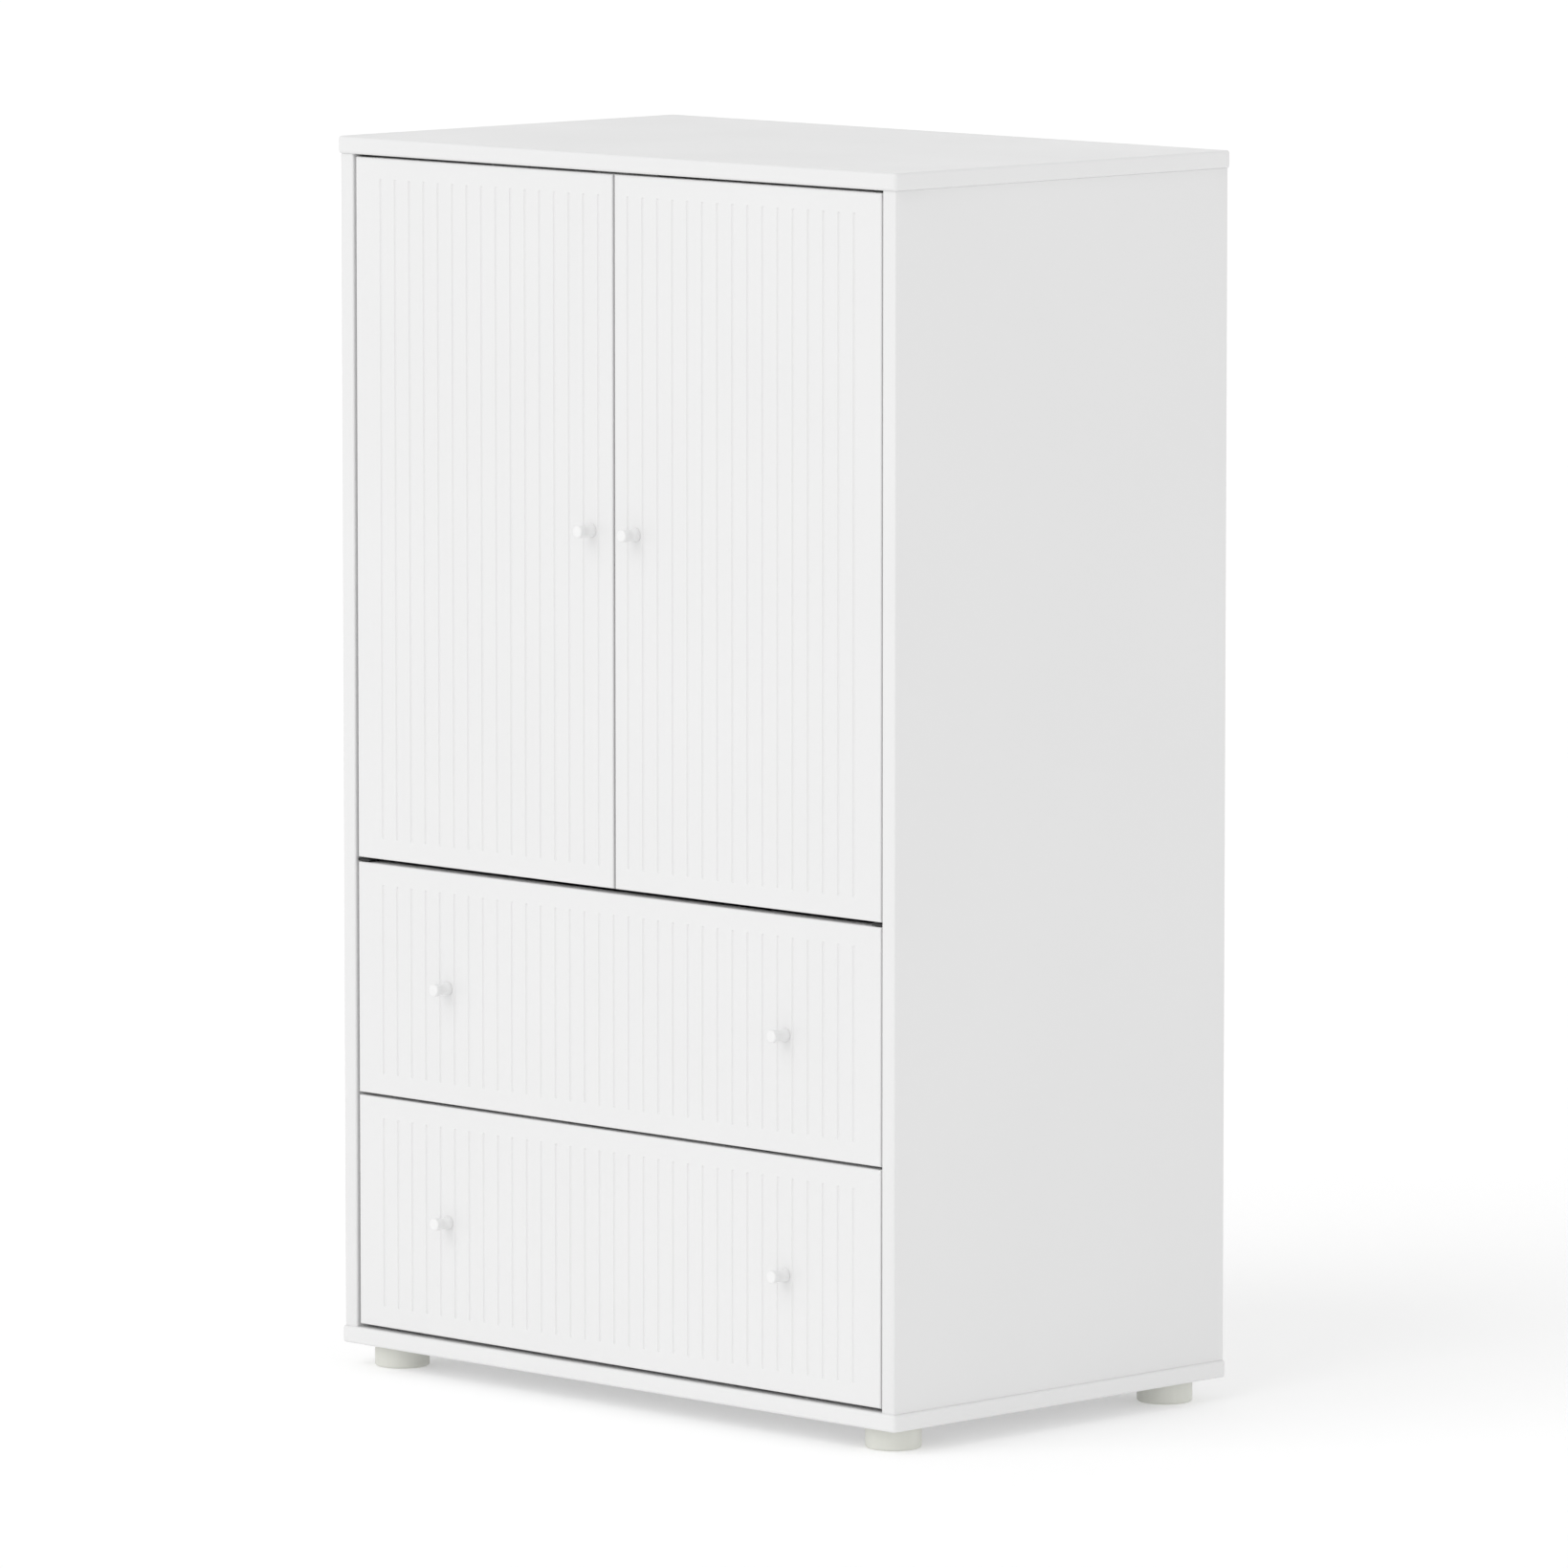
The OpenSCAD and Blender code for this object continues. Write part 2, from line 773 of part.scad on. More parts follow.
// A flanged bush in each end of the door
module door_bushes(side) {
    color(plastic)
    for (end = [0, 1])
        difference() {
            union() {
                rod_z([side * pivot_x, pivot_y, end ? door_z1 - bush_l : door_z0], bush_r, bush_l);
                rod_z([side * pivot_x, pivot_y, end ? door_z1 : door_z0 - flange_t], flange_r, flange_t);
            }
            rod_z([side * pivot_x, pivot_y, end ? door_z1 - bush_l - cut : door_z0 - flange_t - cut],
                  pin_r + pin_play, bush_l + flange_t + 2 * cut);
        }
}

// A steel plate on the door's rear face, with a ribbed stud pressed into it
module door_strike(side) {
    z = roof_z - catch_h / 2;
    color(steel)
    union() {
        slab([side * strike_x - 14, rear_y, z - 5], [side * strike_x + 14, rear_y + strike_t, z + 3]);
        rod_y([side * strike_x, rear_y - 8, z], 2.5, 8 + strike_t / 2);
    }
}

module left_door_panel() { door_panel(-1); }
module right_door_panel() { door_panel(1); }
module left_door_bushes() { door_bushes(-1); }
module right_door_bushes() { door_bushes(1); }
module left_door_strike() { door_strike(-1); }
module right_door_strike() { door_strike(1); }
module left_door_knob() { knob(-door_knob_x, door_knob_z); }
module right_door_knob() { knob(door_knob_x, door_knob_z); }
module left_door_screw() { color(zinc) knob_screw(-door_knob_x, door_knob_z); }
module right_door_screw() { color(zinc) knob_screw(door_knob_x, door_knob_z); }

// Drawers ---------------------------------------------------------------------------
// Each module takes the height of the drawer front's lower edge.

drawer_knob_x = drawer_knob_spaces * groove_pitch / 2;
drawer_cam_zs = [28, drawer_side_h - 28];   // over the drawer side's lower edge
drawer_cam_in = 24;
drawer_cam_r = 6;
drawer_cam_h = 10;

function box_z0(z0) = z0 + drawer_lift;

// Children at each small cam, its axis +Z out of the drawer side's inner face, bolt from +X
module at_drawer_cams(z0) {
    for (side = [-1, 1])
        on_side(side)
        for (dz = drawer_cam_zs)
            translate([box_x0, rear_y + drawer_cam_in, box_z0(z0) + dz])
                rotate([0, -90, 0])
                rotate([0, 0, 90])
                children();
}

// Children at each long screw through a drawer side into the drawer back
module at_back_screws(z0) {
    for (side = [-1, 1])
        on_side(side)
        for (dz = [35, drawer_side_h - 25])
            translate([box_x1, box_y1 - drawer_t / 2, box_z0(z0) + dz])
                rotate([0, -90, 0])
                children();
}

module at_rail_screws(z0) {
    for (side = [-1, 1])
        on_side(side)
        for (y = runner_screws)
            translate([box_x1 + 1.2, y, box_z0(z0) + runner_rise])
                rotate([0, -90, 0])
                children();
}

module drawer_cam_holes() {
    translate([0, 0, -drawer_cam_h - 0.5]) cylinder(h = drawer_cam_h + 0.5 + cut, r = drawer_cam_r + 0.2);
    rod_x([0, 0, -drawer_t / 2], 3.1, drawer_cam_in);
    rod_x([0, 0, -drawer_t / 2], 2.6, drawer_cam_in + 11);
}

module drawer_holes(z0) {
    at_drawer_cams(z0) drawer_cam_holes();
    at_back_screws(z0) sunk_pilot(40);
    at_rail_screws(z0) pilot(12);
    // The groove of the drawer bottom
    x = box_x0 + groove_in + 1;
    z = box_z0(z0) + bottom_rise;
    slab([-x, rear_y - groove_in - 1, z - thin_play],
         [x, box_y1 - drawer_t + groove_in + 1, z + thin_t + thin_play]);
}

module drawer_front(z0) {
    z1 = z0 + drawer_front_h;
    color(white)
    difference() {
        front_board(-half_front, half_front, z0, z1);
        for (i = [-grooves_per_door:grooves_per_door])
            groove(i * groove_pitch, z0, z1);
        for (x = [-1, 1] * drawer_knob_x)
            rod_y([x, face_y - cut, (z0 + z1) / 2], 2.2, board_t + 2 * cut);
        drawer_holes(z0);
    }
}

module drawer_side(side, z0) {
    color(white)
    difference() {
        on_side(side)
            slab([box_x0, rear_y, box_z0(z0)], [box_x1, box_y1, box_z0(z0) + drawer_side_h]);
        drawer_holes(z0);
    }
}

module drawer_back(z0) {
    color(white)
    difference() {
        slab([-box_x0, box_y1 - drawer_t, box_z0(z0)], [box_x0, box_y1, box_z0(z0) + drawer_side_h - 15]);
        drawer_holes(z0);
    }
}

module drawer_bottom(z0) {
    z = box_z0(z0) + bottom_rise;
    x = box_x0 + groove_in;
    color(white)
    slab([-x, rear_y - groove_in, z], [x, box_y1 - drawer_t + groove_in, z + thin_t]);
}

module drawer_knob(side, z0) { knob(side * drawer_knob_x, z0 + drawer_front_h / 2); }

module drawer_fixings(z0) {
    color(zinc) {
        for (x = [-1, 1] * drawer_knob_x) knob_screw(x, z0 + drawer_front_h / 2);
        at_back_screws(z0) flat_screw(40);
        at_rail_screws(z0) screw(11);
        at_drawer_cams(z0) {
            difference() {
                translate([0, 0, -drawer_cam_h]) cylinder(h = drawer_cam_h - 0.3, r = drawer_cam_r);
                rod_x([-3.2, 0, -drawer_t / 2], 3.2, drawer_cam_r + 5);
                screw_cross(0);
            }
            union() {
                rod_x([-2, 0, -drawer_t / 2], 2.8, 3);
                rod_x([1, 0, -drawer_t / 2], 1.8, drawer_cam_in - 1);
                rod_x([drawer_cam_in - 1, 0, -drawer_t / 2], 2.5, 10);
            }
        }
    }
}

module upper_drawer_front() { drawer_front(upper_z0); }
module upper_drawer_left_side() { drawer_side(-1, upper_z0); }
module upper_drawer_right_side() { drawer_side(1, upper_z0); }
module upper_drawer_back() { drawer_back(upper_z0); }
module upper_drawer_bottom() { drawer_bottom(upper_z0); }
module upper_drawer_left_knob() { drawer_knob(-1, upper_z0); }
module upper_drawer_right_knob() { drawer_knob(1, upper_z0); }
module upper_drawer_fixings() { drawer_fixings(upper_z0); }
module lower_drawer_front() { drawer_front(lower_z0); }
module lower_drawer_left_side() { drawer_side(-1, lower_z0); }
module lower_drawer_right_side() { drawer_side(1, lower_z0); }
module lower_drawer_back() { drawer_back(lower_z0); }
module lower_drawer_bottom() { drawer_bottom(lower_z0); }
module lower_drawer_left_knob() { drawer_knob(-1, lower_z0); }
module lower_drawer_right_knob() { drawer_knob(1, lower_z0); }
module lower_drawer_fixings() { drawer_fixings(lower_z0); }

// One line for each part ---------------------------------------------------------------

left_side_panel();
right_side_panel();
top_panel();
bottom_panel();
fixed_shelf();
back_panel();
wall_fixing_batten();
clothes_rail();
rail_sockets();
front_left_foot();
front_right_foot();
rear_left_foot();
rear_right_foot();
magnetic_catch();
left_top_pivot();
right_top_pivot();
left_bottom_pivot();
right_bottom_pivot();
upper_left_outer_rail();
upper_right_outer_rail();
lower_left_outer_rail();
lower_right_outer_rail();
carcass_screws();
cam_locks();
cam_bolts();
dowels();
left_door_panel();
left_door_knob();
left_door_strike();
left_door_bushes();
left_door_screw();
right_door_panel();
right_door_knob();
right_door_strike();
right_door_bushes();
right_door_screw();
upper_drawer_front();
upper_drawer_left_side();
upper_drawer_right_side();
upper_drawer_back();
upper_drawer_bottom();
upper_drawer_left_knob();
upper_drawer_right_knob();
upper_left_inner_rail();
upper_right_inner_rail();
upper_drawer_fixings();
lower_drawer_front();
lower_drawer_left_side();
lower_drawer_right_side();
lower_drawer_back();
lower_drawer_bottom();
lower_drawer_left_knob();
lower_drawer_right_knob();
lower_left_inner_rail();
lower_right_inner_rail();
lower_drawer_fixings();
upper_middle_rails();
upper_ball_cages();
lower_middle_rails();
lower_ball_cages();
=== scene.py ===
import json
import math

import bmesh
import bpy
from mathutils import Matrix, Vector


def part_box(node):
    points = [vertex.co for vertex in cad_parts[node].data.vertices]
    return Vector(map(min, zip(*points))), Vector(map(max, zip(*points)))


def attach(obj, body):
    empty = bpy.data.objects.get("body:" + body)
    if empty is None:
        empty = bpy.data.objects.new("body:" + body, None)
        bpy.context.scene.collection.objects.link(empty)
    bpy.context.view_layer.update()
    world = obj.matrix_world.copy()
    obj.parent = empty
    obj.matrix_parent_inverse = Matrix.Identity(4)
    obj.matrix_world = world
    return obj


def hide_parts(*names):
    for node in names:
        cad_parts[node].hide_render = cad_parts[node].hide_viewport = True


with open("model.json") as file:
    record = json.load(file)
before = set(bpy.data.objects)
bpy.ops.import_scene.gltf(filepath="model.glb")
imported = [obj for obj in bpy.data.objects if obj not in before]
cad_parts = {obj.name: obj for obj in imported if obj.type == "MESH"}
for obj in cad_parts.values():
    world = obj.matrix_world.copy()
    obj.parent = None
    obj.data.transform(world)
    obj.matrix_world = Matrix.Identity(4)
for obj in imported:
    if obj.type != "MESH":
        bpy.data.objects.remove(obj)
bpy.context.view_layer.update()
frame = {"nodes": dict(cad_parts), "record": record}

MM = 0.001
TINY = 0.01 * MM
WELD_GAP = TINY / 10
SHARP_ANGLE = math.radians(40)
FLAT_ANGLE = math.radians(0.5)

# Grooves of the doors and drawer fronts
GROOVE_PITCH = 21.333 * MM
GROOVES_PER_DOOR = 16
GROOVE_RADIUS = 2 * MM
GROOVE_DEPTH = 1.1 * MM
GROOVE_END = 21 * MM
GROOVE_END_ROUND = 0.98 * GROOVE_RADIUS
GROOVE_SIDES = 24
GROOVE_LIP = 0.3 * MM
FRONT_EASE = 2 * MM

# Bores in the ends of the door boards, for the bushes of the pivots
BUSH_RADIUS = 5.05 * MM
BUSH_LENGTH = 12.3 * MM
BORE_OVERRUN = 1 * MM

# Rounding of the top and bottom panels' edges and of their front corners
PANEL_EASE = 3.2 * MM
PANEL_CORNER = 4.5 * MM

# Turned pieces
TURNED_SIDES = 48
KNOB_WAIST = 5.75 * MM
KNOB_FACE = 6.5 * MM
KNOB_EASE = 2 * MM
FOOT_BORE = 6 * MM
FOOT_BORE_DEPTH = 12 * MM
FOOT_BORE_LIP = 0.4 * MM
FOOT_EASE = 2.5 * MM
FOOT_TOP_EASE = 0.8 * MM

# Easing of the CAD nodes' sharp edges
BOARD_EASE = 0.25 * MM
FITTING_EASE = 0.1 * MM
BOARD_ENDINGS = ("panel", "shelf", "batten", "side", "back")

# Finishes
WHITE = (0.755, 0.755, 0.755)
FINE_RELIEF = 0.004 * MM
EDGE_WIDTH = 1.2 * MM
EDGE_WEAR = 0.03

# Studio, in metres and degrees
CAMERA_PLACE = (9.0489, -9.0563, 2.1313)
CAMERA_DOWN = 6.721
CAMERA_ROUND = 44.928
CAMERA_LENS = 288.5
SENSOR_WIDTH = 36
ROOM_SIZE = 60
HORIZON_LIGHT = 1.19
OVERHEAD_LIGHT = 0.61
FRONT_LIGHT = 0.70
FRONT_LIGHT_SPREAD = 50
FRONT_LIGHT_WAY = (0.15, 1.0, -1.0)
FLOOR_TONE = (0.80, 0.80, 0.80, 1)
FLOOR_GLOW = 0.25


# ---------------------------------------------------------------- camera and light


def set_up_camera():
    """A long lens, an eighth of a turn round to the right and a little above the middle."""
    data = bpy.data.cameras.new("camera")
    data.lens = CAMERA_LENS
    data.sensor_width = SENSOR_WIDTH
    data.clip_end = ROOM_SIZE
    camera = bpy.data.objects.new("camera", data)
    camera.location = CAMERA_PLACE
    camera.rotation_euler = (math.radians(90 - CAMERA_DOWN), 0, math.radians(CAMERA_ROUND))
    bpy.context.scene.collection.objects.link(camera)
    bpy.context.scene.camera = camera


def set_up_light():
    """A white room, paler near the horizon than overhead, and one wide soft light high in front."""
    world = bpy.data.worlds.new("studio")
    bpy.context.scene.world = world
    world.use_nodes = True
    tree = world.node_tree
    way = add_node(tree, "ShaderNodeTexCoord").outputs["Generated"]
    height = add_node(tree, "ShaderNodeSeparateXYZ", {"Vector": way}).outputs["Z"]
    level = add_node(tree, "ShaderNodeMapRange", {
        "Value": height, "From Min": 0.0, "From Max": 1.0, "To Min": HORIZON_LIGHT, "To Max": OVERHEAD_LIGHT})
    tree.links.new(level.outputs["Result"], tree.nodes["Background"].inputs["Strength"])
    tree.nodes["Background"].inputs["Color"].default_value = (1, 1, 1, 1)
    data = bpy.data.lights.new("front_light", "SUN")
    data.energy = FRONT_LIGHT
    data.angle = math.radians(FRONT_LIGHT_SPREAD)
    light = bpy.data.objects.new("front_light", data)
    light.rotation_mode = "QUATERNION"
    light.rotation_quaternion = Vector(FRONT_LIGHT_WAY).to_track_quat("-Z", "Y")
    bpy.context.scene.collection.objects.link(light)


def set_up_floor():
    """A plain pale floor that glows a little, so that it fades into the room."""
    bpy.ops.mesh.primitive_plane_add(size=ROOM_SIZE)
    floor = bpy.context.object
    floor.name = "floor"
    material = bpy.data.materials.new("floor_paint")
    material.use_nodes = True
    shader = material.node_tree.nodes["Principled BSDF"]
    shader.inputs["Base Color"].default_value = FLOOR_TONE
    shader.inputs["Roughness"].default_value = 0.9
    shader.inputs["Specular IOR Level"].default_value = 0.1
    shader.inputs["Emission Color"].default_value = (1, 1, 1, 1)
    shader.inputs["Emission Strength"].default_value = FLOOR_GLOW
    floor.data.materials.append(material)


# ---------------------------------------------------------------- material effects


def new_group(name, inputs, outputs):
    """An empty shader node group with these (name, type, value) inputs and (name, type) outputs."""
    group = bpy.data.node_groups.new(name, "ShaderNodeTree")
    for label, kind, value in inputs:
        socket = group.interface.new_socket(name=label, in_out="INPUT", socket_type=kind)
        socket.default_value = value
    for label, kind in outputs:
        group.interface.new_socket(name=label, in_out="OUTPUT", socket_type=kind)
    entry = group.nodes.new("NodeGroupInput")
    leave = group.nodes.new("NodeGroupOutput")
    return group, entry, leave


def add_node(tree, kind, inputs=None, **settings):
    """A node with its settings, and its inputs given by name or place: a value or a socket to link."""
    node = tree.nodes.new(kind)
    for key, value in settings.items():
        setattr(node, key, value)
    for key, value in (inputs or {}).items():
        if isinstance(value, bpy.types.NodeSocket):
            tree.links.new(value, node.inputs[key])
        else:
            node.inputs[key].default_value = value
    return node


def noise(tree, scale, detail, stretch=(1, 1, 1)):
    """Noise in the object's own metres, from 0 to 1."""
    metres = add_node(tree, "ShaderNodeTexCoord").outputs["Object"]
    mapped = add_node(tree, "ShaderNodeMapping", {"Vector": metres, "Scale": stretch}).outputs["Vector"]
    return add_node(tree, "ShaderNodeTexNoise", {
        "Vector": mapped, "Scale": scale, "Detail": detail}).outputs["Fac"]


def span(tree, value, low, high):
    """value, taken from the middle of noise to the range low to high."""
    return add_node(tree, "ShaderNodeMapRange", {
        "Value": value, "From Min": 0.3, "From Max": 0.7, "To Min": low, "To Max": high}).outputs["Result"]


def add_math(tree, operation, *values):
    return add_node(tree, "ShaderNodeMath", dict(enumerate(values)), operation=operation).outputs[0]


def scale_colour(tree, colour, factor):
    """colour times a factor that changes over the surface."""
    vector = add_node(tree, "ShaderNodeVectorMath", {0: colour, "Scale": factor}, operation="SCALE")
    return vector.outputs["Vector"]


def make_sprayed_film():
    """Sprayed lacquer: cloudy thickness, a faint orange peel and a few specks of settled dust."""
    group, entry, leave = new_group(
        "sprayed_film",
        [("Colour", "NodeSocketColor", (0.9, 0.9, 0.9, 1)), ("Gloss", "NodeSocketFloat", 0.4),
         ("Cloud", "NodeSocketFloat", 0.01)],
        [("Colour", "NodeSocketColor"), ("Roughness", "NodeSocketFloat"), ("Height", "NodeSocketFloat")])
    cloud = span(group, noise(group, 4.5, 3.0), -1.0, 1.0)
    tone = add_math(group, "MULTIPLY", cloud, entry.outputs["Cloud"])
    tone = add_math(group, "ADD", tone, 1.0)
    peel = noise(group, 420.0, 1.0)
    speck = add_node(group, "ShaderNodeMapRange", {
        "Value": noise(group, 900.0, 0.0), "From Min": 0.80, "From Max": 0.86, "To Min": 0.0, "To Max": 0.6})
    rough = span(group, noise(group, 9.0, 4.0), -0.04, 0.04)
    group.links.new(scale_colour(group, entry.outputs["Colour"], tone), leave.inputs["Colour"])
    group.links.new(add_math(group, "ADD", rough, entry.outputs["Gloss"]), leave.inputs["Roughness"])
    group.links.new(add_math(group, "ADD", peel, speck.outputs["Result"]), leave.inputs["Height"])
    return group


def make_rubbed_edge():
    """A mask that is 1 on outward edges, broken up, where handling rubs the finish."""
    group, entry, leave = new_group(
        "rubbed_edge", [("Width", "NodeSocketFloat", 0.001)], [("Mask", "NodeSocketFloat")])
    bent = add_node(group, "ShaderNodeBevel", {"Radius": entry.outputs["Width"]}, samples=4)
    flat = add_node(group, "ShaderNodeNewGeometry").outputs["Normal"]
    dot = add_node(group, "ShaderNodeVectorMath", {0: bent.outputs["Normal"], 1: flat},
                   operation="DOT_PRODUCT").outputs["Value"]
    edge = add_node(group, "ShaderNodeMapRange", {
        "Value": dot, "From Min": 0.995, "From Max": 0.90, "To Min": 0.0, "To Max": 1.0}).outputs["Result"]
    patches = span(group, noise(group, 35.0, 3.0), 0.2, 1.0)
    group.links.new(add_math(group, "MULTIPLY", edge, patches), leave.inputs["Mask"])
    return group


def make_wood_figure():
    """Straight grain along Z: long fibres, finer pores, and the change of tone between them."""
    group, entry, leave = new_group(
        "wood_figure",
        [("Colour", "NodeSocketColor", (0.8, 0.6, 0.4, 1)), ("Contrast", "NodeSocketFloat", 0.2)],
        [("Colour", "NodeSocketColor"), ("Height", "NodeSocketFloat")])
    fibre = span(group, noise(group, 160.0, 4.0, (1, 1, 0.06)), -1.0, 1.0)
    pore = noise(group, 900.0, 1.0, (1, 1, 0.03))
    tone = add_math(group, "MULTIPLY", fibre, entry.outputs["Contrast"])
    tone = add_math(group, "ADD", tone, 1.0)
    group.links.new(scale_colour(group, entry.outputs["Colour"], tone), leave.inputs["Colour"])
    group.links.new(add_math(group, "ADD", fibre, pore), leave.inputs["Height"])
    return group


def make_plated_steel():
    """Plated or polished steel: fine drawing lines along Y and a cloudy roughness."""
    group, entry, leave = new_group(
        "plated_steel", [("Colour", "NodeSocketColor", (0.7, 0.7, 0.7, 1)), ("Gloss", "NodeSocketFloat", 0.3),
                         ("Cloud", "NodeSocketFloat", 0.1)],
        [("Colour", "NodeSocketColor"), ("Roughness", "NodeSocketFloat"), ("Height", "NodeSocketFloat")])
    cloud = span(group, noise(group, 130.0, 4.0), -1.0, 1.0)
    tone = add_math(group, "ADD", add_math(group, "MULTIPLY", cloud, entry.outputs["Cloud"]), 1.0)
    lines = noise(group, 1500.0, 2.0, (1, 0.02, 1))
    rough = add_math(group, "ADD", span(group, lines, -0.06, 0.06), entry.outputs["Gloss"])
    group.links.new(scale_colour(group, entry.outputs["Colour"], tone), leave.inputs["Colour"])
    group.links.new(rough, leave.inputs["Roughness"])
    group.links.new(lines, leave.inputs["Height"])
    return group


# ---------------------------------------------------------------- materials


def new_material(name):
    """A new material, with its node tree and its shader."""
    material = bpy.data.materials.new(name)
    material.use_nodes = True
    return material, material.node_tree, material.node_tree.nodes["Principled BSDF"]


def effect(tree, group, inputs):
    """A shared effect placed in a material with its own values."""
    node = add_node(tree, "ShaderNodeGroup", node_tree=group)
    for key, value in inputs.items():
        node.inputs[key].default_value = value
    return node.outputs


def bump(tree, shader, height, distance):
    node = add_node(tree, "ShaderNodeBump", {"Height": height, "Distance": distance, "Strength": 1.0})
    tree.links.new(node.outputs["Normal"], shader.inputs["Normal"])


def lacquer(name, colour, gloss, cloud, effects, peel=FINE_RELIEF):
    """Opaque lacquer on a board, a little paler where its edges are handled."""
    material, tree, shader = new_material(name)
    film = effect(tree, effects["film"], {"Colour": (*colour, 1), "Gloss": gloss, "Cloud": cloud})
    rubbed = effect(tree, effects["edge"], {"Width": EDGE_WIDTH})["Mask"]
    paler = add_math(tree, "MULTIPLY_ADD", rubbed, EDGE_WEAR, 1.0)
    tree.links.new(scale_colour(tree, film["Colour"], paler), shader.inputs["Base Color"])
    tree.links.new(film["Roughness"], shader.inputs["Roughness"])
    bump(tree, shader, film["Height"], peel)
    return material


def turned_lacquer(name, colour, gloss, effects):
    """Lacquer on turned wood, with the grain just telling through."""
    material, tree, shader = new_material(name)
    wood = effect(tree, effects["wood"], {"Colour": (*colour, 1), "Contrast": 0.012})
    film = effect(tree, effects["film"], {"Colour": (1, 1, 1, 1), "Gloss": gloss, "Cloud": 0.01})
    mixed = add_node(tree, "ShaderNodeVectorMath", {0: wood["Colour"], 1: film["Colour"]},
                     operation="MULTIPLY")
    tree.links.new(mixed.outputs["Vector"], shader.inputs["Base Color"])
    tree.links.new(film["Roughness"], shader.inputs["Roughness"])
    bump(tree, shader, add_math(tree, "ADD", wood["Height"], film["Height"]), FINE_RELIEF)
    return material


def steel(name, colour, gloss, cloud, effects):
    """Plated or polished steel, from dull to bright by its gloss."""
    material, tree, shader = new_material(name)
    metal = effect(tree, effects["steel"], {"Colour": (*colour, 1), "Gloss": gloss, "Cloud": cloud})
    shader.inputs["Metallic"].default_value = 1.0
    tree.links.new(metal["Colour"], shader.inputs["Base Color"])
    tree.links.new(metal["Roughness"], shader.inputs["Roughness"])
    bump(tree, shader, metal["Height"], FINE_RELIEF)
    return material


def moulded_plastic(name, colour, effects):
    """Spark-eroded matt plastic."""
    material, tree, shader = new_material(name)
    film = effect(tree, effects["film"], {"Colour": (*colour, 1), "Gloss": 0.5, "Cloud": 0.01})
    grain = noise(tree, 2600.0, 0.0)
    tree.links.new(film["Colour"], shader.inputs["Base Color"])
    tree.links.new(film["Roughness"], shader.inputs["Roughness"])
    bump(tree, shader, grain, 0.01 * MM)
    return material


def raw_beech(name, effects):
    """Unfinished beech, as dowels are."""
    material, tree, shader = new_material(name)
    wood = effect(tree, effects["wood"], {"Colour": (0.62, 0.41, 0.23, 1), "Contrast": 0.18})
    tree.links.new(wood["Colour"], shader.inputs["Base Color"])
    shader.inputs["Roughness"].default_value = 0.7
    bump(tree, shader, wood["Height"], 0.03 * MM)
    return material


def make_materials():
    """One material for each slot, from the shared effects."""
    effects = {"film": make_sprayed_film(), "edge": make_rubbed_edge(),
               "wood": make_wood_figure(), "steel": make_plated_steel()}
    return {
        "carcass_lacquer": lacquer("carcass_lacquer", WHITE, 0.42, 0.006, effects),
        "front_lacquer": lacquer("front_lacquer", WHITE, 0.40, 0.006, effects),
        "inner_board": lacquer("inner_board", (0.77, 0.77, 0.765), 0.55, 0.008, effects, 0.006 * MM),
        # Painted light: the knobs' white is paler than the fronts' (0.80 against 0.755), though it is the
        # same lacquer, to make the knobs look more brightly lit
        "knob_lacquer": turned_lacquer("knob_lacquer", (0.80, 0.80, 0.80), 0.35, effects),
        "foot_lacquer": turned_lacquer("foot_lacquer", (0.67, 0.675, 0.625), 0.5, effects),
        "rail_chrome": steel("rail_chrome", (0.80, 0.80, 0.81), 0.12, 0.02, effects),
        "runner_zinc": steel("runner_zinc", (0.60, 0.61, 0.63), 0.38, 0.06, effects),
        "fitting_steel": steel("fitting_steel", (0.66, 0.66, 0.65), 0.28, 0.05, effects),
        "pivot_coating": moulded_plastic("pivot_coating", (0.02, 0.02, 0.021), effects),
        "bush_plastic": moulded_plastic("bush_plastic", (0.025, 0.025, 0.025), effects),
        "screw_zinc": steel("screw_zinc", (0.62, 0.62, 0.64), 0.32, 0.08, effects),
        "white_plastic": moulded_plastic("white_plastic", (0.80, 0.80, 0.79), effects),
        "dowel_beech": raw_beech("dowel_beech", effects),
    }


def paint(obj, material):
    obj.data.materials.clear()
    obj.data.materials.append(material)


# ---------------------------------------------------------------- modelling by operators


def deselect():
    bpy.ops.object.select_all(action="DESELECT")


def add_box(name, low, high):
    """A block between two corners, its place in its mesh, left selected and active."""
    deselect()
    bpy.ops.mesh.primitive_cube_add(size=1, location=(low + high) / 2)
    obj = bpy.context.object
    obj.name = name
    obj.scale = high - low
    bpy.ops.object.transform_apply(location=True, rotation=True, scale=True)
    return obj


def add_rod(name, start, axis, radius, length, sides=32):
    """A cylinder along X, Y or Z from its start."""
    deselect()
    turn = {"X": (0, math.pi / 2, 0), "Y": (math.pi / 2, 0, 0), "Z": (0, 0, 0)}[axis]
    step = Vector([axis == "X", axis == "Y", axis == "Z"]) * length
    bpy.ops.mesh.primitive_cylinder_add(
        vertices=sides, radius=radius, depth=length, location=Vector(start) + step / 2, rotation=turn)
    obj = bpy.context.object
    obj.name = name
    bpy.ops.object.transform_apply(location=True, rotation=True, scale=True)
    return obj


def bevel_edges(obj, test, width, segments):
    """Bevels the edges whose middle passes the test."""
    bpy.context.view_layer.objects.active = obj
    bpy.ops.object.mode_set(mode="EDIT")
    bpy.ops.mesh.select_all(action="DESELECT")
    bpy.ops.mesh.select_mode(type="EDGE")
    mesh = bmesh.from_edit_mesh(obj.data)
    for edge in mesh.edges:
        edge.select_set(test((edge.verts[0].co + edge.verts[1].co) / 2))
    bmesh.update_edit_mesh(obj.data)
    bpy.ops.mesh.bevel(offset=width, segments=segments, affect="EDGES")
    bpy.ops.object.mode_set(mode="OBJECT")


